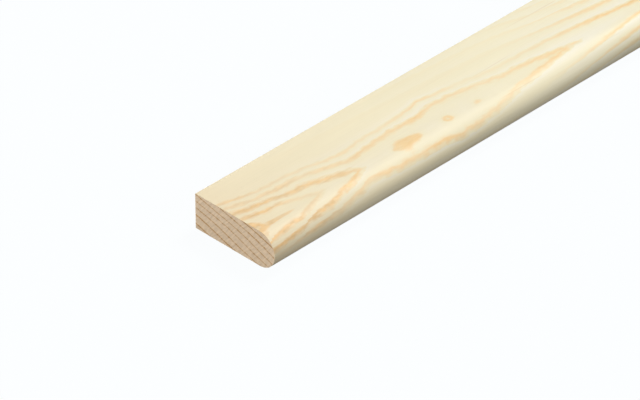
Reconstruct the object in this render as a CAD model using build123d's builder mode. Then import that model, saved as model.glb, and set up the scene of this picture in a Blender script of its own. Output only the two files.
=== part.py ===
from build123d import *

import os

# Parting bead: a straight strip of planed softwood that is pressed into a groove down the inside of a
# sash window's frame and keeps the two sliding sashes apart. One long edge is square, to sit in the
# groove. The other is worked to a full half round, and stands proud between the sashes.
#
# Frame: X runs along the strip, Y across its width with the square edge on the +Y side, and Z up
# through its thickness. The origin is on the underside, midway along the length and the width.

# Driving dimensions, in millimetres
length = 2400.0  # a stock length that such bead is sold in
width = 21.0  # from the square edge to the crown of the rounded edge
thickness = 8.0  # between the two planed faces
arris_radius = 0.2  # easing of the square edge's two corners by the planer

# The rounded edge is a full half round, so it follows from the thickness
nose_radius = thickness / 2
square_edge_y = width / 2
nose_crown_y = -width / 2
nose_start_y = nose_crown_y + nose_radius

# The strip: one section, carried both ways from the middle to the two sawn ends
with BuildPart() as parting_bead:
    with BuildSketch(Plane.YZ) as section:
        with BuildLine() as outline:
            underside = Line((nose_start_y, 0), (square_edge_y, 0))
            square_edge = Line(underside @ 1, (square_edge_y, thickness))
            upper_face = Line(square_edge @ 1, (nose_start_y, thickness))
            ThreePointArc(upper_face @ 1, (nose_crown_y, nose_radius), underside @ 0)
        make_face()
        arrises = section.vertices().group_by(Axis.X)[-1]
        fillet(arrises, radius=arris_radius)
    extrude(amount=length / 2, both=True)

parting_bead.part.label = "parting_bead"

os.makedirs("parts", exist_ok=True)
export_step(parting_bead.part, "parts/parting_bead.step")
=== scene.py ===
"""Looks of a parting bead: one planed pine strip with a square edge, a rounded nose and sawn ends."""

import logging
import math
from dataclasses import dataclass
from enum import Enum

import bpy
import numpy as np
from mathutils import Matrix, Vector


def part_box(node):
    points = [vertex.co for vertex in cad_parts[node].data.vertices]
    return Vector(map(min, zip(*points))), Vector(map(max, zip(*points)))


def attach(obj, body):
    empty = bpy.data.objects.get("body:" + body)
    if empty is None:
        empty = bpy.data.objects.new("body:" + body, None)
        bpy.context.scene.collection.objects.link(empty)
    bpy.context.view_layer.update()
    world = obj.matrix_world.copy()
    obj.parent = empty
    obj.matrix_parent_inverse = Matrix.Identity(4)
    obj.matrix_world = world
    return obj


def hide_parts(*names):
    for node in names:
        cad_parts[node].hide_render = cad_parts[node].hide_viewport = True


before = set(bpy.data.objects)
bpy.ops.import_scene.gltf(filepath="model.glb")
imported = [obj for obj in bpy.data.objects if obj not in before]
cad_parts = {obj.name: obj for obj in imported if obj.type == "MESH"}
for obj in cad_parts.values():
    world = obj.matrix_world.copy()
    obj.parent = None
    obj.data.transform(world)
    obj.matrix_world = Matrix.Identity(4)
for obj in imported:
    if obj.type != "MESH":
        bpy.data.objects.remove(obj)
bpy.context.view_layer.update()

log = logging.getLogger("parting_bead")

Array = np.ndarray
Node = bpy.types.Node
Socket = bpy.types.NodeSocket
Colour = tuple[float, float, float]
Size = tuple[float, float, float]
Curve = tuple[float, ...]
Span = tuple[float, float]

# Height and length of a wave, a rise or a fade
Wave = tuple[float, float]

# What a shader node's input takes
Feed = Socket | float | Colour

MM = 0.001
FULL_TURN = 2 * math.pi
NODE = "parting_bead"
BODY = "root"
PIECE = "parting_bead_timber"
IMAGE_WIDTH = 640

# Where in a ring's count, from 0 to 1, the latewood of the planed faces starts and where it is darkest
LATE_FROM = 0.7
DARKEST = 0.84

# Least and greatest share of a ring on the planed faces that its dark band takes up
BAND_LIMITS = (0.08, 0.85)


class Cut(Enum):
    """How the timber was cut where a face lies, as the index of the mesh's material slot."""

    PLANED = 0
    SAWN = 1


class Mark(Enum):
    """Names of the values that the mesh carries for its finishes."""

    FACE_RING = "face_ring"
    FACE_SHADE = "face_shade"
    # Darkening towards the left end: painted shade, which also sets how brown the lines and how pale the
    # wood past them are there
    FACE_SEASONED = "face_seasoned"
    END_RING = "end_ring"
    END_SHADE = "end_shade"


def smooth_step(low: float, high: float, value: Array) -> Array:
    """Rise smoothly from 0 at low to 1 at high: 3t^2 - 2t^3 of the clipped share t.

    Args:
        low: Value where the rise starts.
        high: Value where it ends.
        value: Values to grade.

    Returns:
        The graded values, from 0 to 1.
    """
    share = np.clip((value - low) / (high - low), 0.0, 1.0)
    return share * share * (3.0 - 2.0 * share)


def from_screen(red: int, green: int, blue: int) -> Colour:
    """Turn a colour as a screen shows it, 0 to 255, into the linear values that shaders take.

    Args:
        red: Red part.
        green: Green part.
        blue: Blue part.

    Returns:
        The linear colour.
    """
    parts = np.array([red, green, blue]) / 255.0
    linear = np.where(parts <= 0.04045, parts / 12.92, ((parts + 0.055) / 1.055) ** 2.4)
    return tuple(float(part) for part in linear)


# The floor and what lies behind it, as the camera sees them
STUDIO_WHITE = from_screen(252, 254, 255)


def add_object(name: str, data: bpy.types.ID) -> bpy.types.Object:
    """Put a mesh, a lamp or a camera into the scene.

    Args:
        name: The object's name.
        data: What it shows.

    Returns:
        The object, at the origin.
    """
    item = bpy.data.objects.new(name, data)
    bpy.context.scene.collection.objects.link(item)
    return item


def grid_faces(grid: Array) -> Array:
    """Faces of a grid of vertex numbers, four corners each, turning from its rows to its columns.

    Args:
        grid: Vertex numbers, rows by columns.

    Returns:
        The faces' vertex numbers.
    """
    corners = [grid[:-1, :-1], grid[1:, :-1], grid[1:, 1:], grid[:-1, 1:]]
    return np.stack(corners, -1).reshape(-1, 4)


def swell(waves: tuple[Wave, ...], along: Array) -> Array:
    """Sum of sines along the strip.

    Args:
        waves: Height and length of each sine.
        along: Distances along the strip.

    Returns:
        The sums.
    """
    return sum(height * np.sin(FULL_TURN * along / length) for height, length in waves)


def banded(share: Array, band: Array, crest: Array | float) -> Array:
    """Stretch a ring's share so that its dark band fills the part from LATE_FROM to 1.

    Args:
        share: Share of the way from one line to the next, 0 to 1.
        band: Share of that way that the dark band takes up.
        crest: Share of the band at which it is darkest.

    Returns:
        The stretched share, bent where the band starts and where it is darkest.
    """
    band = np.clip(band, *BAND_LIMITS)
    plain = share / (1 - band) * LATE_FROM
    through = np.maximum(share - 1 + band, 0.0) / band
    rising = LATE_FROM + through / crest * (DARKEST - LATE_FROM)
    falling = 1 - (1 - through) / (1 - crest) * (1 - DARKEST)
    dark = np.where(through < crest, rising, falling)
    return np.where(share < 1 - band, plain, dark)


@dataclass(frozen=True)
class BeadSection:
    """The strip's cross section in mm: w runs from the square edge to the nose's crown, z upwards."""

    width: float
    thickness: float
    arris: float = 0.2
    arris_steps: int = 3
    flat_steps: int = 44
    nose_steps: int = 16
    rows: int = 14

    @property
    def nose(self) -> float:
        """Radius of the half-round nose."""
        return self.thickness / 2

    @property
    def flat(self) -> float:
        """Distance from the square edge to where the nose starts."""
        return self.width - self.nose

    @property
    def girth(self) -> float:
        """Length of the line round the section, with its two corners taken as sharp."""
        return 2 * self.flat + math.pi * self.nose + self.thickness

    def half_outline(self) -> tuple[Array, Array, Array, Array]:
        """Upper half of the outline, from the square edge to the crown.

        It is a quarter circle of the arris radius, a straight flat, and a quarter circle of the nose
        radius, each stepped evenly by its own angle or length.

        Returns:
            The points' w, their height above mid-thickness, and the outward normal's w and z parts.
        """
        turn = np.linspace(0.0, math.pi / 2, self.arris_steps + 1)
        corner_w = self.arris * (1 - np.cos(turn))
        corner_h = self.thickness / 2 - self.arris * (1 - np.sin(turn))
        flat_w = np.linspace(self.arris, self.flat, self.flat_steps + 1)[1:]
        bend = np.linspace(0.0, math.pi / 2, self.nose_steps + 1)[1:]
        w = np.concatenate([corner_w, flat_w, self.flat + self.nose * np.sin(bend)])
        level = np.full_like(flat_w, self.thickness / 2)
        height = np.concatenate([corner_h, level, self.nose * np.cos(bend)])
        out_w = np.concatenate([-np.cos(turn), np.zeros_like(flat_w), np.sin(bend)])
        out_z = np.concatenate([np.sin(turn), np.ones_like(flat_w), np.cos(bend)])
        return w, height, out_w, out_z

    def around(self) -> tuple[Array, Array, Array, Array, Array]:
        """The whole outline once round: over the top, round the nose, back below and up the edge.

        Returns:
            The points' w, z, outward normal's w and z parts, and girth from the upper square corner.
        """
        w, height, out_w, out_z = self.half_outline()
        middle = self.thickness / 2
        edge = (np.arange(1, self.rows) / self.rows * 2 - 1) * height[0] + middle
        nose_girth = self.flat + self.nose * np.arctan2(w - self.flat, height)
        top_girth = np.where(w < self.flat, w, nose_girth)
        below = slice(-2, None, -1)
        lower_girth = self.girth - self.thickness - top_girth[below]
        edge_girth = self.girth - self.thickness + edge
        still = np.zeros_like(edge)
        return (
            np.concatenate([w, w[below], still]),
            np.concatenate([middle + height, middle - height[below], edge]),
            np.concatenate([out_w, out_w[below], still - 1]),
            np.concatenate([out_z, -out_z[below], still]),
            np.concatenate([top_girth, lower_girth, edge_girth]),
        )


@dataclass(frozen=True)
class EndGrain:
    """Growth rings on the sawn ends: arcs about a pith that lies well below the strip, in mm.

    Attributes:
        pith_w: The pith's distance from the square edge.
        pith_z: Its height.
        radii: Radii of the rings' dark edges.
        strengths: How strong each ring shows, where 1 is usual.
        shift: Shift of the whole count, in rings.
        bulge: How far the arcs bulge, by a cosine of the height above a line across the strip.
        bulge_height: Height of one such wave.
        bulge_middle: Height of that line at the square edge.
        bulge_slope: How much it rises with the distance from that edge.
        sways_w: How the pith sways sideways along the strip.
        sways_z: How it sways up and down.
    """

    pith_w: float = -47.6
    pith_z: float = -196.9
    radii: Curve = (203.8, 205.6, 207.3, 208.95, 210.45, 212.1, 213.75)
    strengths: Curve = (1.1, 1.15, 1.0, 0.85, 0.95, 0.85, 1.35)
    shift: float = -0.07
    bulge: float = 0.17
    bulge_height: float = 8.0
    bulge_middle: float = 3.0
    bulge_slope: float = 0.17
    sways_w: tuple[Wave, ...] = ((6.0, 1500.0),)
    sways_z: tuple[Wave, ...] = ((2.4, 880.0), (0.96, 310.0))

    def rings(self, w: Array, z: Array, along: Array) -> Array:
        """Ring count outwards from the innermost ring shown, one more at each of the radii.

        It goes on beyond the first and last radius at the first and last ring's own spacing.

        Args:
            w: Distances from the square edge.
            z: Heights.
            along: Distances from the left end.

        Returns:
            The ring counts.
        """
        pith_w = self.pith_w + swell(self.sways_w, along)
        pith_z = self.pith_z + swell(self.sways_z, along)
        above = z - self.bulge_middle - self.bulge_slope * w
        bulge = self.bulge * np.cos(FULL_TURN * above / self.bulge_height)
        radius = np.hypot(w - pith_w, z - pith_z) - bulge
        first, second = self.radii[:2]
        last_but_one, last = self.radii[-2:]
        count = np.interp(radius, self.radii, np.arange(len(self.radii)))
        count += np.minimum(radius - first, 0.0) / (second - first)
        count += np.maximum(radius - last, 0.0) / (last - last_but_one)
        return count + self.shift

    def shades(self, rings: Array) -> Array:
        """How strong the rings' lines show: each ring has its own strength."""
        return np.interp(np.ceil(rings), np.arange(len(self.strengths)), self.strengths)


@dataclass(frozen=True)
class GrowthLine:
    """One growth ring's dark edge on the upper face, as it runs away from the left end.

    Its two arms lie either side of the crown line and meet in a point. All are in mm but the shades.

    Attributes:
        breadth: Breadth of the dark band along the line.
        nose_breadth: The same on the nose's side of the crown line.
        along: Distances from the left end.
        square: How far the arm towards the square edge is from the crown line there, below 0 once the
            arms have met.
        nose: The same for the arm towards the nose, along the girth.
        shade: How dark the line shows there, from 0 to 1.
        nose_shade: How many times as dark it shows on the nose's side.
        smoothing: Distance over which the curves' corners are rounded.
    """

    breadth: float
    nose_breadth: float
    along: Curve
    square: Curve
    nose: Curve
    shade: Curve
    nose_shade: float = 1.0
    smoothing: float = 0.5

    def at(self, curve: Curve, along: Array) -> Array:
        """One of the line's curves, its corners rounded by a bell-shaped mean.

        Args:
            curve: The curve's values at the line's own distances.
            along: Wanted distances, in mm.

        Returns:
            The curve's values there.
        """
        nearby = np.linspace(-2.0, 2.0, 9)
        weight = np.exp(-nearby * nearby)
        mirrored = np.abs(along[:, None] + nearby * self.smoothing)
        return (np.interp(mirrored, self.along, curve) * weight).sum(1) / weight.sum()


@dataclass(frozen=True)
class Spot:
    """An oval on the crown line where a ring just breaks the surface, in mm but for the last three.

    Attributes:
        along: Its middle, from the left end.
        across: Its middle, from the square edge.
        half_length: Half its length along the strip.
        half_breadth: Half its breadth.
        ring: The ring count in its middle.
        edge: Power of its falling edge, higher for a crisper rim.
        shade: How dark its latewood shows, from 0 to 1.
    """

    along: float
    across: float
    half_length: float
    half_breadth: float
    ring: float
    edge: float
    shade: float

    def cover(self, along: Array, girth: Array) -> Array:
        """How far the oval covers a place: exp(-r^edge) of the oval's radius r.

        Args:
            along: Distances from the left end, as a column.
            girth: Girths from the upper square corner, as a row.

        Returns:
            The cover, from 0 to 1, rows by columns.
        """
        lengthways = (along - self.along) / self.half_length
        sideways = (girth - self.across) / self.half_breadth
        return np.exp(-(np.hypot(lengthways, sideways) ** self.edge))


@dataclass(frozen=True)
class FarGrain:
    """Growth rings over the rest of the upper face and nose, past the drawn lines.

    Attributes:
        start: Where along the strip the slow waves start, in mm.
        ring: Ring count at the crown line there.
        rise: Rings that the count there rises by, and the length in mm of the rise.
        swells: Slow waves of the count, in rings, with their lengths in mm.
        slope: Rings by which the count falls for each mm before the start.
        drift: Height and length in mm of the wave in which the crown line drifts to the square edge.
        nose_squeeze: Share of the rings' spacing that is left on the nose's side.
        spread: Distance from the crown line to the first ring, in mm.
        spread_waves: Slow waves of that distance, as shares of it, with their lengths in mm.
        power: Power of the distance by which the count rises.
        breadth: Breadth of the dark bands, in mm.
        least_away: Distance within which the bands keep their share of the ring, in mm.
        shade: How dark the lines show far from the crown line, from 0 to 1.
        crown_shade: How much darker they show at it.
        crown_reach: How far from it that reaches, in mm.
        shade_wave: Slow wave of the shade, and its length in mm.
        shade_slant: Distance from the crown line over which that wave shifts by a radian, in mm.
    """

    start: float = 88.0
    ring: float = 3.0
    rise: Wave = (2.6, 170.0)
    swells: tuple[Wave, ...] = ((1.4, 720.0), (0.7, 1130.0))
    slope: float = 0.03
    drift: Wave = (2.6, 1700.0)
    nose_squeeze: float = 0.7
    spread: float = 4.7
    spread_waves: tuple[Wave, ...] = ((0.22, 540.0),)
    power: float = 1.4
    breadth: float = 1.7
    least_away: float = 1.5
    shade: float = 0.35
    crown_shade: float = 0.6
    crown_reach: float = 7.5
    shade_wave: Wave = (0.12, 310.0)
    shade_slant: float = 3.0

    def rings(self, along: Array, girth: Array, crown: float, crest: float) -> tuple[Array, Array]:
        """Rings and shade: slow arches along the strip.

        The count at the crown line swells and falls in slow waves along the strip, and rises from there
        as a power of the distance from the crown line, which itself drifts.

        Args:
            along: Distances from the left end, in mm, as a column.
            girth: Girths from the upper square corner, in mm, as a row.
            crown: Girth of the crown line at the start, in mm.
            crest: Share of a dark band at which it is darkest.

        Returns:
            Ring counts and shades, rows by columns.
        """
        run = np.maximum(along - self.start, 0.0)
        rise, rise_length = self.rise
        middle = self.ring + rise * (1 - np.exp(-run / rise_length)) + swell(self.swells, run)
        middle = middle + np.minimum(along - self.start, 0.0) * self.slope
        drift, drift_length = self.drift
        crown = crown - drift * (1 - np.cos(FULL_TURN * run / drift_length))
        away = np.where(girth < crown, crown - girth, (girth - crown) / self.nose_squeeze)
        spread = self.spread * (1 + swell(self.spread_waves, run))
        rings = middle + (away / spread) ** self.power
        whole = np.floor(rings)
        outside = np.maximum(away, self.least_away) / spread
        band = self.breadth * self.power / spread * outside ** (self.power - 1)
        change, change_length = self.shade_wave
        shade = self.shade + self.crown_shade * np.exp(-((away / self.crown_reach) ** 2))
        shade = shade + change * np.sin(FULL_TURN * run / change_length + away / self.shade_slant)
        return whole + banded(rings - whole, band, crest), shade


@dataclass(frozen=True)
class FaceGrain:
    """Growth rings as the planed faces show them, counted in rings from the crown line outwards.

    The last part of each ring, from LATE_FROM to 1, is its latewood band, whatever its breadth in mm.

    Attributes:
        section: The strip's section.
        end_grain: The rings of the sawn ends, which the underside and the square edge show too.
        far: The grain past the drawn lines.
        crown: Girth of the crown line, in mm.
        first_ring: Count inside the first line.
        lone_breadth: How far on the other side of the crown line the count starts, in mm.
        widest_band: Greatest share of the way from one line to the next that a band takes up.
        least_band: Least breadth of a band, in mm.
        least_gap: Least distance between two bands' outer edges, in mm.
        outer_gap: Distance between rings past the last line, in mm.
        outward: Share of a band that lies outside its drawn line.
        crest: Share of a band at which it is darkest.
        nose_outward: The same as outward, on the nose's side.
        nose_crest: The same as crest, on the nose's side.
        shade_change: Shares of the way between two lines over which the shade goes over to the next.
        seed: Seed of the ripples.
        ripple_waves: Heights and lengths of the lines' ripples, in mm.
        drawn_to: Where along the strip the drawn lines hand over to the far grain, in mm.
        nose_fade: Girths between which the drawn lines fade on the nose, in mm.
        nose_faded: Share of their shade that is lost there.
        below_from: Distances before the nose's end between which the lower rings take over, in mm.
        below_count: Ring count below where the end grain's count is 0.
        below_shade: How dark the rings show below.
        corner_clear: Distances from the square corners between which the shade comes in, in mm.
        lines: The drawn lines, from the crown line outwards.
        spots: Ovals on the crown line.
    """

    section: BeadSection
    end_grain: EndGrain
    far: FarGrain = FarGrain()
    crown: float = 16.45
    first_ring: int = -2
    lone_breadth: float = 20.0
    widest_band: float = 0.9
    least_band: float = 0.1
    least_gap: float = 0.2
    outer_gap: float = 3.2
    outward: float = 0.55
    crest: float = 0.47
    nose_outward: float = 0.58
    nose_crest: float = 0.22
    shade_change: Span = (0.05, 0.3)
    seed: int = 4
    ripple_waves: tuple[Wave, ...] = ((0.05, 2.3), (0.06, 3.4), (0.06, 5.3))
    drawn_to: Span = (72.0, 104.0)
    nose_fade: Span = (22.3, 23.4)
    nose_faded: float = 0.75
    below_from: Span = (7.0, 1.0)
    below_count: float = 8.0
    below_shade: float = 0.75
    corner_clear: Span = (0.1, 1.2)
    lines: tuple[GrowthLine, ...] = (
        GrowthLine(
            breadth=1.0,
            nose_breadth=1.0,
            along=(0, 60),
            square=(-9.0, -16.0),
            nose=(-9.0, -16.0),
            shade=(1.0, 1.0),
        ),
        GrowthLine(
            breadth=3.0,
            nose_breadth=3.0,
            along=(0, 1.5, 2.5, 4, 60),
            square=(1.7, 0.6, -0.8, -2.6, -9.0),
            nose=(1.9, 0.6, -0.8, -2.6, -9.0),
            shade=(1, 1, 1, 0.8, 0.8),
        ),
        GrowthLine(
            breadth=1.7,
            nose_breadth=1.6,
            along=(0, 3, 5, 9, 11, 13, 15, 17, 20, 60),
            square=(4.2, 3.6, 3.2, 2.9, 2.0, 1.3, 0.7, 0.0, -1.6, -6.0),
            nose=(3.7, 3.3, 3.0, 2.7, 2.2, 1.5, 0.9, 0.0, -1.6, -6.0),
            shade=(0.65, 0.95, 0.95, 0.6, 0.4, 0.35, 0.3, 0.2, 0.2, 0.2),
            nose_shade=1.5,
        ),
        GrowthLine(
            breadth=2.4,
            nose_breadth=1.9,
            along=(0, 3, 7, 9, 11, 17, 19, 23, 26, 27.5, 33, 110),
            square=(6.8, 5.8, 5.2, 4.9, 4.0, 3.6, 2.8, 1.6, 0.6, -0.3, -3.0, -8.0),
            nose=(5.6, 5.2, 4.7, 4.4, 3.8, 3.4, 2.7, 1.8, 0.9, -0.1, -3.0, -8.0),
            shade=(0.7, 0.9, 0.95, 0.65, 0.75, 0.85, 0.85, 0.8, 0.65, 0.55, 0.6, 0.6),
            nose_shade=1.25,
        ),
        GrowthLine(
            breadth=1.75,
            nose_breadth=1.8,
            along=(0, 3, 5, 13, 17, 23, 27, 30, 33, 40, 47, 51, 57, 63, 69, 74, 88, 110),
            square=(
                8.6, 8.2, 7.2, 6.4, 6.4, 4.8, 3.6, 3.5, 4.1,
                4.6, 4.3, 5.3, 4.9, 3.8, 2.4, 2.2, 0.0, -3.0,
            ),
            nose=(
                7.4, 7.0, 6.6, 5.8, 5.6, 4.4, 3.2, 3.4, 3.9,
                4.1, 4.0, 4.8, 4.4, 3.5, 2.2, 1.6, 0.0, -3.0,
            ),
            shade=(
                0.35, 0.5, 0.4, 0.65, 0.35, 0.55, 0.5, 0.7, 0.65,
                0.6, 0.85, 0.65, 0.55, 0.45, 0.55, 0.65, 0.7, 0.7,
            ),
            nose_shade=1.1,
        ),
        GrowthLine(
            breadth=1.15,
            nose_breadth=1.2,
            along=(0, 3, 9, 15, 21, 25, 30, 33, 40, 47, 51, 54, 57, 60, 69, 90, 110),
            square=(
                10.9, 9.9, 8.6, 8.4, 7.6, 6.4, 6.0, 6.7, 6.7,
                7.2, 8.1, 7.5, 7.1, 6.8, 5.2, 4.5, 3.4,
            ),
            nose=(
                9.0, 8.6, 7.8, 7.4, 7.0, 6.2, 5.6, 6.0, 6.2,
                6.6, 7.0, 6.8, 6.4, 6.0, 4.8, 4.0, 3.0,
            ),
            shade=(
                0.5, 0.7, 0.35, 0.3, 0.3, 0.4, 0.45, 0.3, 0.3,
                0.5, 0.7, 0.45, 0.4, 0.1, 0.2, 0.3, 0.5,
            ),
            nose_shade=0.1,
        ),
        GrowthLine(
            breadth=1.7,
            nose_breadth=1.2,
            along=(0, 110),
            square=(15.0, 7.0),
            nose=(13.0, 6.0),
            shade=(0.0, 0.1),
        ),
    )
    spots: tuple[Spot, ...] = (
        Spot(3.8, 16.7, 2.2, 0.9, -0.16, 3.0, 0.9),
        Spot(7.0, 16.75, 3.9, 0.7, -0.17, 3.0, 0.6),
        Spot(38.9, 16.6, 2.7, 2.2, 2.84, 5.0, 0.85),
        Spot(41.9, 16.45, 2.7, 1.5, 2.84, 4.0, 0.85),
        Spot(36.9, 16.7, 1.4, 0.9, 2.8, 3.0, 0.7),
        Spot(51.1, 16.55, 1.7, 1.3, 2.96, 2.0, 0.8),
        Spot(59.2, 16.6, 1.5, 1.0, 2.84, 2.2, 0.65),
    )

    def ripples(self, along: Array) -> Array:
        """Small sideways bends of every line's two arms: sums of sines of a few lengths.

        Args:
            along: Distances from the left end, in mm.

        Returns:
            Bends in mm, lines by distances by the arm (towards the square edge, towards the nose).
        """
        draw = np.random.default_rng(self.seed)
        bends = np.zeros((len(self.lines), len(along), 2))
        for height, length in self.ripple_waves:
            start = draw.uniform(0.0, FULL_TURN, (len(self.lines), 1, 2))
            bends += height * np.sin(FULL_TURN * along[:, None] / length + start)
        return bends

    def near_rings(self, along: Array, away: Array, nose_side: Array) -> tuple[Array, Array]:
        """Rings and their shade near the left end, from the drawn lines.

        The count rises by one from each drawn line to the next with the distance from the crown line,
        stretched for the line's band, and goes on at the outer gap past the last line.

        Args:
            along: Distances from the left end, in mm, one per row.
            away: Distances from the crown line, in mm, rows by columns.
            nose_side: For each column, 1 on the nose's side of the crown line and 0 on the other.

        Returns:
            Ring counts and shades, rows by columns.
        """
        rings = np.full_like(away, self.first_ring)
        shade = np.zeros_like(away)
        crest = np.where(nose_side, self.nose_crest, self.crest)
        outward = np.where(nose_side, self.nose_outward, self.outward)
        middle, inner, dim = -self.lone_breadth, -self.lone_breadth, 0.0
        for line, bend in zip(self.lines, self.ripples(along)):
            both = np.column_stack([line.at(line.square, along), line.at(line.nose, along)])
            arms = (both + bend)[:, nose_side]
            widest = np.where(nose_side, line.nose_breadth, line.breadth)
            band = np.clip(self.widest_band * (arms - middle), self.least_band, widest)
            outer = arms + outward * band
            gap = np.maximum(outer - inner, self.least_gap)
            share = np.clip((away - inner) / gap, 0.0, 1.0)
            rings += banded(share, band / gap, crest)
            stronger = np.where(nose_side, line.nose_shade, 1.0)
            dark = line.at(line.shade, along)[:, None] * stronger
            shade += (dark - dim) * smooth_step(*self.shade_change, share)
            middle, inner, dim = arms, outer, dark
        rings += np.maximum(away - inner, 0.0) / self.outer_gap
        return rings, shade

    def on_faces(self, along: Array, w: Array, z: Array, girth: Array) -> tuple[Array, Array]:
        """Rings and shade over all the long faces.

        The drawn lines hand over to the far grain along the strip, and both hand over to the end
        grain's rings round the lower half of the nose. The shade dies out at the square corners, where
        the upper face and the edge show different rings.

        Args:
            along: Distances from the left end, in mm.
            w: Distances of the outline's points from the square edge, in mm.
            z: Their heights, in mm.
            girth: Their girths from the upper square corner, in mm.

        Returns:
            Ring counts and shades, one row for each distance along, one column for each point.
        """
        line = along[:, None]
        nose_side = (girth > self.crown).astype(int)
        away = np.broadcast_to(np.abs(girth - self.crown), (len(along), len(w)))
        near, near_shade = self.near_rings(along, away, nose_side)
        for spot in self.spots:
            cover = spot.cover(line, girth)
            near += (spot.ring - near) * cover
            near_shade += (spot.shade - near_shade) * cover
        near_shade *= 1 - self.nose_faded * smooth_step(*self.nose_fade, girth)
        far, far_shade = self.far.rings(line, girth, self.crown, self.crest)
        later = smooth_step(*self.drawn_to, line)
        upper = near + (far - near) * later
        upper_shade = near_shade + (far_shade - near_shade) * later
        nose_end = self.section.flat + math.pi * self.section.nose
        first, last = self.below_from
        below = smooth_step(nose_end - first, nose_end - last, girth)
        lower = self.below_count - self.end_grain.rings(w, z, line)
        rings = upper + (lower - upper) * below
        shade = upper_shade + (self.below_shade - upper_shade) * below
        from_corner = np.minimum(girth, self.section.girth - girth)
        clear = smooth_step(*self.corner_clear, from_corner)
        return rings, np.clip(shade * clear, 0.0, 1.0)


class NodeSheet:
    """A shader node tree that is being drawn up."""

    def __init__(self, tree: bpy.types.NodeTree) -> None:
        """Start on an emptied tree."""
        self.tree = tree
        tree.nodes.clear()

    def feed(self, socket: Socket, value: Feed) -> None:
        """Join a node's output to an input, or set a number or an opaque colour on the input.

        Args:
            socket: The input.
            value: What feeds it.
        """
        if isinstance(value, Socket):
            self.tree.links.new(value, socket)
        elif socket.type == "RGBA":
            socket.default_value = (*value, 1.0)
        else:
            socket.default_value = value

    def add(self, kind: str, inputs: dict[str | int, Feed] | None = None, **settings: object) -> Node:
        """Add a node.

        Args:
            kind: Blender's name of the node's type.
            inputs: What feeds its inputs, by their names or numbers.
            **settings: The node's own properties.

        Returns:
            The new node.
        """
        node = self.tree.nodes.new(kind)
        for name, value in settings.items():
            setattr(node, name, value)
        for key, value in (inputs or {}).items():
            self.feed(node.inputs[key], value)
        return node

    def math(self, operation: str, first: Feed, second: Feed = 0.0, third: Feed = 0.0) -> Socket:
        """Add a Math node and give its value."""
        inputs = {0: first, 1: second, 2: third}
        return self.add("ShaderNodeMath", inputs, operation=operation).outputs[0]

    def graded(self, value: Feed, low: Feed, high: Feed, start: float, end: float) -> Socket:
        """Add a smooth Map Range node, from start at low to end at high, and give its value."""
        inputs = {"Value": value, "From Min": low, "From Max": high, "To Min": start, "To Max": end}
        return self.add("ShaderNodeMapRange", inputs, interpolation_type="SMOOTHSTEP").outputs[0]

    def mixed(self, share: Feed, first: Feed, second: Feed, blend: str = "MIX") -> Socket:
        """Add a colour Mix node and give its colour."""
        inputs = {0: share, 6: first, 7: second}
        return self.add("ShaderNodeMix", inputs, data_type="RGBA", blend_type=blend).outputs[2]

    def noise(self, place: Socket, detail: float, scale: float = 1.0, roughness: float = 0.5) -> Socket:
        """Add a Noise node and give its value."""
        inputs = {"Vector": place, "Scale": scale, "Detail": detail, "Roughness": roughness}
        return self.add("ShaderNodeTexNoise", inputs).outputs[0]

    def centred(self, noise: Socket) -> Socket:
        """Move a noise, whose middle is 0.5, so that its middle is 0."""
        return self.math("SUBTRACT", noise, 0.5)

    def place(self, size: Size, turn: float = 0.0) -> Socket:
        """Place on the object, turned about X and divided by the size of a pattern's features.

        Args:
            size: Size of a feature along X, Y and Z after the turn, in mm.
            turn: Turn about X, in radians.

        Returns:
            The socket with the place.
        """
        place = self.add("ShaderNodeTexCoord").outputs["Object"]
        scale = tuple(part * MM for part in size)
        inputs = {"Vector": place, "Scale": scale, "Rotation": (turn, 0.0, 0.0)}
        return self.add("ShaderNodeMapping", inputs, vector_type="TEXTURE").outputs[0]

    def mark(self, mark: Mark) -> Socket:
        """Read one of the mesh's own values."""
        return self.add("ShaderNodeAttribute", attribute_name=mark.value).outputs["Fac"]

    def for_camera(self, others: Socket, camera: Socket) -> Socket:
        """Give one shader to the camera's own rays and another to all other rays."""
        path = self.add("ShaderNodeLightPath").outputs["Is Camera Ray"]
        return self.add("ShaderNodeMixShader", {0: path, 1: others, 2: camera}).outputs[0]


def new_material(name: str) -> tuple[bpy.types.Material, NodeSheet]:
    """Start a material.

    Args:
        name: Its name.

    Returns:
        The material and its empty node sheet.
    """
    material = bpy.data.materials.new(name)
    material.use_nodes = True
    return material, NodeSheet(material.node_tree)


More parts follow.
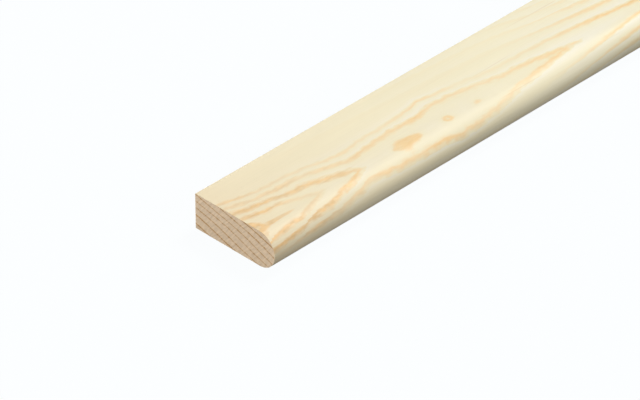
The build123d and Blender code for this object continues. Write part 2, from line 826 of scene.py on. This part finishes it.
@dataclass(frozen=True)
class EffectGroups:
    """Shader effects that both finishes use, each built once as a node group."""

    growth: bpy.types.NodeTree
    streaks: bpy.types.NodeTree

    @staticmethod
    def build() -> "EffectGroups":
        """Make both groups."""
        return EffectGroups(EffectGroups.growth_rings(), EffectGroups.fine_streaks())

    @staticmethod
    def start(
        name: str, places: tuple[str, ...], values: tuple[str, ...], results: tuple[str, ...]
    ) -> tuple[NodeSheet, bpy.types.bpy_prop_collection]:
        """Start a group.

        Args:
            name: The group's name.
            places: Names of its inputs that are places.
            values: Names of its inputs that are values.
            results: Names of its outputs, all of them values.

        Returns:
            The sheet to draw on and the sockets that give the inputs.
        """
        tree = bpy.data.node_groups.new(name, "ShaderNodeTree")
        kinds = (
            (places, "INPUT", "NodeSocketVector"),
            (values, "INPUT", "NodeSocketFloat"),
            (results, "OUTPUT", "NodeSocketFloat"),
        )
        for labels, side, kind in kinds:
            for label in labels:
                tree.interface.new_socket(label, in_out=side, socket_type=kind)
        sheet = NodeSheet(tree)
        return sheet, sheet.add("NodeGroupInput").outputs

    @staticmethod
    def growth_rings() -> bpy.types.NodeTree:
        """Latewood from a ring count: it darkens from the onset to the edge and then falls off.

        Returns:
            The group, which gives the masks of the latewood, of the pale wood past each line, and of
            the stretches of a line that are browner than the rest.
        """
        sheet, given = EffectGroups.start(
            "Growth rings",
            ("Place",),
            ("Ring", "Wobble", "Patches", "Onset", "Edge"),
            ("Latewood", "Pale", "Browning"),
        )
        ripple = sheet.centred(sheet.noise(given["Place"], detail=1.5))
        moved = sheet.math("MULTIPLY_ADD", ripple, given["Wobble"], given["Ring"])
        phase = sheet.math("FRACT", moved)
        rise = sheet.graded(phase, low=given["Onset"], high=given["Edge"], start=0.0, end=1.0)
        fall = sheet.graded(phase, low=given["Edge"], high=1.0, start=1.0, end=0.0)
        other_noise = {"Vector": given["Place"], "Scale": 0.8, "Detail": 2.0, "W": 7.0}
        patchy = sheet.add("ShaderNodeTexNoise", other_noise, noise_dimensions="4D").outputs[0]
        usual_weight = 0.9
        weight = sheet.math("MULTIPLY_ADD", sheet.centred(patchy), given["Patches"], usual_weight)
        results = {
            "Latewood": sheet.math("MULTIPLY", sheet.math("MULTIPLY", rise, fall), weight),
            "Pale": sheet.graded(phase, low=0.0, high=0.8, start=1.0, end=0.0),
            "Browning": sheet.graded(patchy, low=0.35, high=0.65, start=0.0, end=1.0),
        }
        sheet.add("NodeGroupOutput", results)
        return sheet.tree

    @staticmethod
    def fine_streaks() -> bpy.types.NodeTree:
        """Fine lines of stretched noise over soft clouds.

        Returns:
            The group, which gives the streaks, from -0.5 to 0.5, and the tone of streaks and clouds
            together, about 1.
        """
        sheet, given = EffectGroups.start(
            "Fine streaks",
            ("Place", "Cloud Place"),
            ("Streak Depth", "Cloud Depth"),
            ("Streak", "Tone"),
        )
        streak = sheet.centred(sheet.noise(given["Place"], detail=4.0, roughness=0.6))
        cloud = sheet.centred(sheet.noise(given["Cloud Place"], detail=2.0))
        clouded = sheet.math("MULTIPLY_ADD", cloud, given["Cloud Depth"], 1.0)
        tone = sheet.math("MULTIPLY_ADD", streak, given["Streak Depth"], clouded)
        sheet.add("NodeGroupOutput", {"Streak": streak, "Tone": tone})
        return sheet.tree


@dataclass(frozen=True)
class Finish:
    """What a timber finish has besides its colours. Sizes of features are along X, Y and Z, in mm.

    Attributes:
        name: The material's name.
        ring_size: Size of the bends in the rings' edges.
        streak_size: Size of the fine streaks.
        cloud_size: Size of the soft clouds.
        slant: Turn of the streaks about X, in radians.
        wobble: How far the rings' edges bend, in rings.
        patches: How unevenly the latewood shows.
        onset: Where in a ring its latewood starts.
        edge: Where in a ring its latewood is darkest.
        streak_depth: How much the streaks change the tone.
        cloud_depth: How much the clouds change it.
        roughness: Roughness of the earlywood.
        late_smoother: How much less rough the latewood is.
        late_height: How far the latewood stands out, as a share of the relief.
        relief: Height of the streaks, in mm.
        gloss: Specular level.
    """

    name: str
    ring_size: Size
    streak_size: Size
    cloud_size: Size
    slant: float
    wobble: float
    patches: float
    onset: float
    edge: float
    streak_depth: float
    cloud_depth: float
    roughness: float
    late_smoother: float
    late_height: float
    relief: float
    gloss: float

    def start(self, effects: EffectGroups, ring: Mark) -> tuple[bpy.types.Material, NodeSheet, Node, Node]:
        """Make a material and place the shared effects in it with this finish's values.

        Args:
            effects: The shared node groups.
            ring: The mesh's ring count that this finish shows.

        Returns:
            The material, its node sheet, and the nodes of the growth rings and of the streaks.
        """
        material, sheet = new_material(self.name)
        ring_inputs = {
            "Ring": sheet.mark(ring),
            "Place": sheet.place(self.ring_size),
            "Wobble": self.wobble,
            "Patches": self.patches,
            "Onset": self.onset,
            "Edge": self.edge,
        }
        streak_inputs = {
            "Place": sheet.place(self.streak_size, self.slant),
            "Cloud Place": sheet.place(self.cloud_size),
            "Streak Depth": self.streak_depth,
            "Cloud Depth": self.cloud_depth,
        }
        rings = sheet.add("ShaderNodeGroup", ring_inputs, node_tree=effects.growth)
        streaks = sheet.add("ShaderNodeGroup", streak_inputs, node_tree=effects.streaks)
        return material, sheet, rings, streaks

    def end(self, sheet: NodeSheet, colour: Socket, dark: Socket, streaks: Node) -> None:
        """Join the pattern to the shader.

        Args:
            sheet: The material's node sheet.
            colour: Surface colour, before the streaks' tone.
            dark: Mask of the latewood.
            streaks: The node of the streaks.
        """
        toned = sheet.mixed(1.0, colour, streaks.outputs["Tone"], "MULTIPLY")
        roughness = sheet.math("MULTIPLY_ADD", dark, -self.late_smoother, self.roughness)
        height = sheet.math("MULTIPLY_ADD", dark, self.late_height, streaks.outputs["Streak"])
        relief = {"Height": height, "Strength": 1.0, "Distance": self.relief * MM}
        bump = sheet.add("ShaderNodeBump", relief)
        surface = {
            "Base Color": toned,
            "Roughness": roughness,
            "Normal": bump.outputs[0],
            "Specular IOR Level": self.gloss,
        }
        shader = sheet.add("ShaderNodeBsdfPrincipled", surface)
        sheet.add("ShaderNodeOutputMaterial", {"Surface": shader.outputs[0]})


@dataclass(frozen=True)
class PlanedPine(Finish):
    """Planed faces: cream earlywood, orange latewood lines, fine fibres along the strip."""

    name: str = "Planed pine"
    ring_size: Size = (1.8, 0.9, 0.9)
    streak_size: Size = (14.0, 0.35, 0.35)
    cloud_size: Size = (24.0, 5.0, 5.0)
    slant: float = 0.0
    wobble: float = 0.2
    patches: float = 0.5
    onset: float = 0.64
    edge: float = DARKEST
    streak_depth: float = 0.07
    cloud_depth: float = 0.08
    roughness: float = 0.66
    late_smoother: float = 0.1
    late_height: float = 0.4
    relief: float = 0.03
    gloss: float = 0.95
    earlywood: Colour = from_screen(233, 224, 190)
    pale: Colour = from_screen(234, 228, 206)
    latewood: Colour = from_screen(240, 201, 134)
    brown: Colour = from_screen(220, 185, 126)
    fleck: Colour = from_screen(212, 184, 140)
    fleck_cover: float = 0.35
    # Tint of the painted shade that darkens the colour towards the left end
    age_and_painted_shade: Colour = (0.955, 0.885, 0.85)

    def material(self, effects: EffectGroups) -> bpy.types.Material:
        """Build the material: pale past each line, brown in the lines near the end, rare flecks, and
        painted shade that darkens and warms the colour towards the left end.

        Args:
            effects: The shared node groups.

        Returns:
            The material.
        """
        material, sheet, rings, fibres = self.start(effects, Mark.FACE_RING)
        shade = sheet.mark(Mark.FACE_SHADE)
        # Painted shade towards the left end, which also sets the lines' browning and the pale bands below
        age_and_painted_shade = sheet.mark(Mark.FACE_SEASONED)
        fresh = sheet.graded(age_and_painted_shade, low=0.12, high=0.85, start=1.0, end=0.1)
        fresh = sheet.math("MULTIPLY", fresh, sheet.math("SQRT", shade))
        pale = sheet.math("MULTIPLY", rings.outputs["Pale"], fresh)
        early = sheet.mixed(pale, self.earlywood, self.pale)
        aged = sheet.graded(age_and_painted_shade, low=0.3, high=0.65, start=0.25, end=1.0)
        browned = sheet.math("MULTIPLY", rings.outputs["Browning"], aged)
        late = sheet.mixed(browned, self.latewood, self.brown)
        dark = sheet.math("MULTIPLY", rings.outputs["Latewood"], shade)
        colour = sheet.mixed(dark, early, late)
        specks = sheet.noise(sheet.place(self.streak_size), detail=1.0, scale=0.6)
        flecks = sheet.graded(specks, low=0.72, high=0.82, start=0.0, end=self.fleck_cover)
        colour = sheet.mixed(flecks, colour, self.fleck)
        # Painted shade: the colour is darkened and warmed towards the left end by this mark
        colour = sheet.mixed(age_and_painted_shade, colour, self.age_and_painted_shade, "MULTIPLY")
        self.end(sheet, colour, dark, fibres)
        return material


@dataclass(frozen=True)
class SawnEnd(Finish):
    """Sawn ends: tan end grain, brown ring lines, and slanting saw marks across them."""

    name: str = "Sawn end grain"
    ring_size: Size = (2.0, 1.2, 1.2)
    streak_size: Size = (1.0, 0.38, 1.8)
    cloud_size: Size = (3.0, 3.0, 3.0)
    slant: float = math.radians(42.0)
    wobble: float = 0.14
    patches: float = 1.2
    onset: float = 0.7
    edge: float = 0.93
    streak_depth: float = 0.7
    cloud_depth: float = 0.12
    roughness: float = 0.86
    late_smoother: float = 0.08
    late_height: float = 0.6
    relief: float = 0.06
    gloss: float = 0.15
    ground: Colour = from_screen(226, 202, 172)
    ring: Colour = from_screen(188, 142, 84)
    ring_cover: float = 0.95
    saw_breaks: float = 2.4

    def material(self, effects: EffectGroups) -> bpy.types.Material:
        """Build the material: the saw marks break up the rings' lines.

        Args:
            effects: The shared node groups.

        Returns:
            The material.
        """
        material, sheet, rings, saw = self.start(effects, Mark.END_RING)
        broken = sheet.math("MULTIPLY_ADD", saw.outputs["Streak"], -self.saw_breaks, self.ring_cover)
        strong = sheet.math("MULTIPLY", rings.outputs["Latewood"], sheet.mark(Mark.END_SHADE))
        dark = sheet.math("MULTIPLY", strong, broken)
        self.end(sheet, sheet.mixed(dark, self.ground, self.ring), dark, saw)
        return material


@dataclass(frozen=True)
class BakeSheet:
    """Where the strip's faces lie on the map that textures are baked through, in the map's pixels.

    The long faces are cut into long bands, one above the other, with the two ends above them. The first
    stretch of the strip, which is looked at most, gets several times the pixels of the rest.

    Attributes:
        name: The map's name.
        side: Side of the square map.
        bands: Number of bands.
        band_height: A band's height.
        band_run: A band's length.
        margin: Bare rim round each band.
        near: Length of the first stretch, in mm.
        near_density: Pixels to the mm along it.
        end_density: Pixels to the mm of the ends.
        end_foot: Height of the ends' feet.
        left_start: Where the left end starts.
        right_start: Where the right end starts.
    """

    name: str = "OFBake"
    side: float = 1024.0
    bands: int = 3
    band_height: float = 290.0
    band_run: float = 1008.0
    margin: float = 4.0
    near: float = 110.0
    near_density: float = 5.0
    end_density: float = 14.0
    end_foot: float = 896.0
    left_start: float = 8.0
    right_start: float = 340.0

    def wall_places(self, along: Array, girth: Array) -> Array:
        """Places of the long faces' corners: the distance along, cut at each band's run, and the girth.

        Args:
            along: Distances of the cross sections, in mm.
            girth: Girths of the outline's points, in mm, up to the full girth.

        Returns:
            Places from 0 to 1, one row for each corner of each face, round the outline's first step on
            all its way along the strip, then the next.
        """
        far_run = self.bands * self.band_run - self.near * self.near_density
        far_density = far_run / (along[-1] - self.near)
        near_part = np.minimum(along, self.near) * self.near_density
        unrolled = near_part + np.maximum(along - self.near, 0.0) * far_density
        band = np.minimum(unrolled[:-1] // self.band_run, self.bands - 1)
        left = self.margin + unrolled[:-1] - band * self.band_run
        right = self.margin + unrolled[1:] - band * self.band_run
        foot = self.margin + band * (self.band_height + 2 * self.margin)
        rise = girth[:, None] / girth[-1] * self.band_height
        places = np.empty((len(girth) - 1, len(band), 4, 2))
        places[..., 0, 0] = places[..., 1, 0] = left
        places[..., 2, 0] = places[..., 3, 0] = right
        places[..., 0, 1] = places[..., 3, 1] = foot + rise[:-1]
        places[..., 1, 1] = places[..., 2, 1] = foot + rise[1:]
        return places.reshape(-1, 2) / self.side

    def end_places(self, points: Array, length: float) -> Array:
        """Places of the end faces' corners: the ends as they are, side by side.

        Args:
            points: The corners, in mm, as along, w and z.
            length: The strip's length, in mm.

        Returns:
            Places from 0 to 1.
        """
        places = points[:, 1:] * self.end_density
        places[:, 0] += np.where(points[:, 0] > length / 2, self.right_start, self.left_start)
        places[:, 1] += self.end_foot
        return places / self.side


@dataclass
class BeadStrip:
    """The whole strip as one closed mesh, in the part's own frame.

    Attributes:
        low: Lowest corner of the CAD node's box, in metres.
        high: Its highest corner, in metres.
        end_easing: How far the outline is drawn in at the ends, in mm.
        fine_length: Length of the left part with close cross sections, in mm.
        fine_step: Distance between those, in mm.
        coarse_step: Distance between the others, in mm.
        sunk: How far the soft wood is sunk, in mm.
        softest: Where in a ring the wood is softest.
        sharp_angle: Angle between faces from which an edge is sharp, in degrees.
        age_and_painted_shade_fades: How far the left end is darkened by painted shade, which also sets how
            aged its lines look, and how it fades: depths and lengths in mm.
        most_age_and_painted_shade: Limit of that.
        bake: The map for baking.
    """

    low: Vector
    high: Vector
    end_easing: float = 0.04
    fine_length: float = 100.0
    fine_step: float = 0.75
    coarse_step: float = 4.6
    sunk: float = 0.015
    softest: float = 0.4
    sharp_angle: float = 30.0
    age_and_painted_shade_fades: tuple[Wave, ...] = ((0.9, 35.0), (0.35, 2.0))
    most_age_and_painted_shade: float = 1.2
    bake: BakeSheet = BakeSheet()

    def __post_init__(self) -> None:
        """Work out the sizes that follow from the CAD node's box."""
        self.length = (self.high.x - self.low.x) / MM
        self.section = BeadSection(2 * self.high.y / MM, (self.high.z - self.low.z) / MM)
        self.end_grain = EndGrain()
        self.grain = FaceGrain(self.section, self.end_grain)

    def stations(self) -> Array:
        """Distances along the strip of its cross sections: close together near the left end.

        Returns:
            The distances from the left end, in mm.
        """
        near = np.arange(self.end_easing, self.fine_length, self.fine_step)
        count = int((self.length - self.fine_length) / self.coarse_step)
        rest = np.linspace(self.fine_length, self.length - self.end_easing, count)
        return np.concatenate([[0.0], near, rest, [self.length]])

    def wall(self) -> tuple[Array, Array, Array]:
        """The long faces: the section's outline carried along the strip.

        The outline is drawn in by the end easing at both ends, and the soft wood between the rings'
        dark edges is sunk by a hair, as a raised cosine of the ring count.

        Returns:
            Points in mm (sections by outline points by 3, as along, w and z), rings and shades.
        """
        along = self.stations()
        w, z, out_w, out_z, girth = self.section.around()
        rings, shade = self.grain.on_faces(along, w, z, girth)
        inset = 0.5 * self.sunk * shade * (1 + np.cos(FULL_TURN * (rings - self.softest)))
        inset[[0, -1]] += self.end_easing
        points = np.empty((len(along), len(w), 3))
        points[..., 0] = along[:, None]
        points[..., 1] = w - out_w * inset
        points[..., 2] = z - out_z * inset
        return points, rings, shade

    def cap(self) -> Array:
        """One end face inside its rim: columns across the width, each stepped evenly up its height.

        Returns:
            Places in mm, one row each, as w and z.
        """
        w, height, out_w, out_z = self.section.half_outline()
        w = w - out_w * self.end_easing
        height = height - out_z * self.end_easing
        level = np.linspace(-1.0, 1.0, self.section.rows + 1)
        places = np.empty((len(w), len(level), 2))
        places[..., 0] = w[:, None]
        places[..., 1] = self.section.thickness / 2 + height[:, None] * level
        return places[1:-1, 1:-1].reshape(-1, 2)

    def cap_numbers(self, outline: Array, first_inner: int) -> Array:
        """Vertex numbers of an end face's grid, whose rim is the wall's first or last outline.

        Args:
            outline: The outline's vertex numbers, in the order of BeadSection.around.
            first_inner: Number of the first vertex inside the rim.

        Returns:
            The numbers, columns by rows, the last column being all at the crown.
        """
        columns = len(self.section.half_outline()[0])
        rows = self.section.rows
        grid = np.empty((columns, rows + 1), int)
        inner = (columns - 2) * (rows - 1)
        grid[1:-1, 1:-1] = first_inner + np.arange(inner).reshape(columns - 2, rows - 1)
        grid[:, -1] = outline[:columns]
        grid[:-1, 0] = outline[columns : 2 * columns - 1][::-1]
        grid[0, 1:-1] = outline[2 * columns - 1 :]
        grid[-1] = outline[columns - 1]
        return grid

    def faces(self, numbers: Array, inner: int) -> tuple[Array, Array, Array]:
        """Vertex numbers of all the faces.

        Args:
            numbers: Vertex numbers of the wall, sections by outline points.
            inner: Number of vertices inside each end's rim.

        Returns:
            The wall's faces, the ends' faces of four corners, and those of three at the crown.
        """
        wall = grid_faces(np.column_stack([numbers, numbers[:, 0]]).T)
        left = self.cap_numbers(numbers[0], numbers.size)
        right = self.cap_numbers(numbers[-1], numbers.size + inner)
        ends = [grid_faces(left[:-1]), grid_faces(right[:-1])[:, ::-1]]
        tips = [grid_faces(left[-2:])[:, [0, 1, 3]], grid_faces(right[-2:])[:, [3, 1, 0]]]
        return wall, np.concatenate(ends), np.concatenate(tips)

    def build(self) -> bpy.types.Object:
        """Make the strip's mesh with its marks, its bake map and its two kinds of face.

        Returns:
            The strip's object.
        """
        points, rings, shade = self.wall()
        inner = self.cap()
        ends = [np.insert(inner, 0, along, axis=1) for along in (0.0, self.length)]
        every = np.concatenate([points.reshape(-1, 3), *ends])
        numbers = np.arange(rings.size).reshape(rings.shape)
        wall, caps, tips = self.faces(numbers, len(inner))
        start = (self.low.x, self.high.y, self.low.z)
        vertices = np.array(start) + every * (MM, -MM, MM)
        mesh = bpy.data.meshes.new(PIECE)
        mesh.from_pydata(vertices, [], [*wall.tolist(), *caps.tolist(), *tips.tolist()])
        cuts = np.full(len(mesh.polygons), Cut.SAWN.value, np.int32)
        cuts[: len(wall)] = Cut.PLANED.value
        mesh.polygons.foreach_set("material_index", cuts)
        mesh.polygons.foreach_set("use_smooth", np.ones(len(cuts), bool))
        self.add_marks(mesh, every, rings, shade)
        self.add_bake_map(mesh, every[np.concatenate([caps.ravel(), tips.ravel()])])
        mesh.set_sharp_from_angle(angle=math.radians(self.sharp_angle))
        mesh.validate()
        return add_object(PIECE, mesh)

    def dress(self, piece: bpy.types.Object) -> None:
        """Give the strip its two finishes, in the order of Cut.

        Args:
            piece: The strip's object.
        """
        effects = EffectGroups.build()
        finishes = {Cut.PLANED: PlanedPine(), Cut.SAWN: SawnEnd()}
        for cut in Cut:
            piece.data.materials.append(finishes[cut].material(effects))

    def add_marks(self, mesh: bpy.types.Mesh, every: Array, rings: Array, shade: Array) -> None:
        """Store the values that the finishes read, one for each vertex.

        Args:
            mesh: The strip's mesh.
            every: All points, in mm, as along, w and z.
            rings: The wall's ring counts.
            shade: The wall's shades.
        """
        along, w, z = every.T
        spare = np.zeros(len(every) - rings.size)
        # How far each point is darkened by painted shade towards the left end, which also ages its lines
        age_and_painted_shade = sum(depth * np.exp(-along / length) for depth, length in self.age_and_painted_shade_fades)
        end_rings = self.end_grain.rings(w, z, along)
        marks = {
            Mark.FACE_RING: np.concatenate([rings.ravel(), spare]),
            Mark.FACE_SHADE: np.concatenate([shade.ravel(), spare]),
            Mark.FACE_SEASONED: np.minimum(age_and_painted_shade, self.most_age_and_painted_shade),
            Mark.END_RING: end_rings,
            Mark.END_SHADE: self.end_grain.shades(end_rings),
        }
        for mark, values in marks.items():
            layer = mesh.attributes.new(mark.value, "FLOAT", "POINT")
            layer.data.foreach_set("value", values.astype(np.float32))

    def add_bake_map(self, mesh: bpy.types.Mesh, end_corners: Array) -> None:
        """Lay the faces out on the map that textures are baked through.

        Args:
            mesh: The strip's mesh.
            end_corners: The corners of the end faces in their order, in mm, as along, w and z.
        """
        girth = np.append(self.section.around()[4], self.section.girth)
        wall = self.bake.wall_places(self.stations(), girth)
        places = np.concatenate([wall, self.bake.end_places(end_corners, self.length)])
        layer = mesh.uv_layers.new(name=self.bake.name)
        layer.uv.foreach_set("vector", places.astype(np.float32).ravel())


@dataclass(frozen=True)
class StudioFloor:
    """A wide pale floor that throws little light back, with a faint shadow where things touch it.

    Attributes:
        half_size: Half its side, in metres.
        half_steps: Number of cells from its middle to its rim.
        drop: How far it lies below the strip, in mm.
        white: Its colour to the camera.
        own_light: Share of its own light in what the camera sees.
        bounce: How much light it throws back on the strip.
    """

    half_size: float = 60.0
    half_steps: int = 12
    drop: float = 0.02
    white: Colour = STUDIO_WHITE
    own_light: float = 0.98
    bounce: float = 0.2

    def build(self) -> bpy.types.Object:
        """Make the floor as a flat grid whose lines lie at the cubes of even steps.

        The cells near the strip are small, so that rays meet the floor there at its exact height.

        Returns:
            The floor's object.
        """
        side = np.linspace(-1.0, 1.0, 2 * self.half_steps + 1) ** 3 * self.half_size
        x, y = np.meshgrid(side, side)
        corners = np.column_stack([x.ravel(), y.ravel(), np.full(x.size, -self.drop * MM)])
        mesh = bpy.data.meshes.new("studio_floor")
        mesh.from_pydata(corners, [], grid_faces(np.arange(x.size).reshape(x.shape).T))
        mesh.materials.append(self.material())
        return add_object("studio_floor", mesh)

    def material(self) -> bpy.types.Material:
        """Make the floor's material: mostly its own white to the camera, dark to other rays.

        Returns:
            The material.
        """
        material, sheet = new_material("Studio floor")
        lit = sheet.add("ShaderNodeBsdfDiffuse", {"Color": self.white}).outputs[0]
        glow = sheet.add("ShaderNodeEmission", {"Color": self.white, "Strength": 1.0}).outputs[0]
        seen = sheet.add("ShaderNodeMixShader", {0: self.own_light, 1: lit, 2: glow}).outputs[0]
        grey = (self.bounce, self.bounce, self.bounce)
        dim = sheet.add("ShaderNodeBsdfDiffuse", {"Color": grey}).outputs[0]
        sheet.add("ShaderNodeOutputMaterial", {"Surface": sheet.for_camera(dim, seen)})
        return material


@dataclass(frozen=True)
class SoftLamp:
    """A very wide, far lamp, the same all along the strip.

    Attributes:
        name: The lamp's name.
        source: Direction towards the lamp.
        share: What it adds to a white face turned to it, where 1 shows as white.
        breadth: Angle that the lamp fills, in degrees.
    """

    name: str
    source: tuple[float, float, float]
    share: float
    breadth: float

    def build(self) -> bpy.types.Object:
        """Make the lamp.

        Returns:
            The lamp's object.
        """
        data = bpy.data.lights.new(self.name, "SUN")
        data.energy = self.share * math.pi
        data.angle = math.radians(self.breadth)
        lamp = add_object(self.name, data)
        lamp.rotation_euler = Vector(self.source).to_track_quat("Z", "Y").to_euler()
        return lamp


@dataclass(frozen=True)
class Studio:
    """Soft light from all round, four wide lamps, and white behind everything."""

    sky: float = 0.12
    light: Colour = (1.0, 1.0, 1.0)
    white: Colour = STUDIO_WHITE
    lamps: tuple[SoftLamp, ...] = (
        SoftLamp("key_lamp", (0.6, 0.0, 0.8), 0.81, 20.0),
        SoftLamp("front_lamp", (0.2, -0.82, 0.54), 0.41, 20.0),
        SoftLamp("end_lamp", (-1.0, 0.0, 0.12), 0.625, 10.0),
        SoftLamp("back_lamp", (0.4, 1.0, 0.12), 0.28, 10.0),
    )

    def build(self) -> None:
        """Make the world and the lamps, and show colours as they are."""
        world = bpy.data.worlds.new("studio")
        world.use_nodes = True
        sheet = NodeSheet(world.node_tree)
        light = sheet.add("ShaderNodeBackground", {"Color": self.light, "Strength": self.sky})
        back = sheet.add("ShaderNodeBackground", {"Color": self.white, "Strength": 1.0})
        both = sheet.for_camera(light.outputs[0], back.outputs[0])
        sheet.add("ShaderNodeOutputWorld", {"Surface": both})
        scene = bpy.context.scene
        scene.world = world
        scene.view_settings.view_transform = "Standard"
        scene.view_settings.look = "None"
        for lamp in self.lamps:
            lamp.build()
            log.info("lamp %s: share %.2f", lamp.name, lamp.share)


@dataclass(frozen=True)
class PhotoCamera:
    """The camera at the photograph's viewing angle.

    Attributes:
        azimuth: Degrees round from looking along +Y.
        elevation: Degrees above level.
        focal_pixels: Focal length in pixels of the 640 x 400 image.
        distance: From the strip's near upper square corner, along the view, in mm.
        right: How far the image's middle lies right of that corner, in mm.
        below: How far it lies below that corner, in mm.
        sensor: Width of the sensor, in mm.
        nearest: Nearest distance shown, in metres.
        farthest: Farthest distance shown, in metres.
    """

    azimuth: float = -45.35
    elevation: float = 35.46
    focal_pixels: float = 4684.0
    distance: float = 872.6
    right: float = 23.295
    below: float = 1.267
    sensor: float = 36.0
    nearest: float = 0.01
    farthest: float = 2000.0

    def build(self, corner: Vector) -> bpy.types.Object:
        """Make the camera.

        Args:
            corner: The strip's near upper square corner, in metres.

        Returns:
            The camera's object.
        """
        turn = math.radians(self.azimuth)
        rise = math.radians(self.elevation)
        level = Vector((math.sin(turn), -math.cos(turn), 0.0))
        back = level * math.cos(rise) + Vector((0.0, 0.0, math.sin(rise)))
        side = Vector((math.cos(turn), math.sin(turn), 0.0))
        top = back.cross(side)
        data = bpy.data.cameras.new("photo_camera")
        data.sensor_width = self.sensor
        data.lens = self.focal_pixels / IMAGE_WIDTH * self.sensor
        data.clip_start = self.nearest
        data.clip_end = self.farthest
        camera = add_object("photo_camera", data)
        place = corner + (back * self.distance + side * self.right - top * self.below) * MM
        facing = Matrix((side, top, back)).transposed().to_4x4()
        camera.matrix_world = Matrix.Translation(place) @ facing
        bpy.context.scene.camera = camera
        return camera


def main() -> None:
    """Build the strip, its finishes, the floor, the light and the camera."""
    logging.basicConfig(level=logging.INFO, format="%(name)s: %(message)s")
    low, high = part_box(NODE)
    strip = BeadStrip(low, high)
    piece = strip.build()
    strip.dress(piece)
    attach(piece, BODY)
    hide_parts(NODE)
    log.info("piece %s: %d faces, %.0f mm long", piece.name, len(piece.data.polygons), strip.length)
    floor = StudioFloor().build()
    log.info("stage %s", floor.name)
    Studio().build()
    camera = PhotoCamera().build(Vector((low.x, high.y, high.z)))
    log.info("camera %s: lens %.1f mm", camera.name, camera.data.lens)


if __name__ == "__main__":
    main()
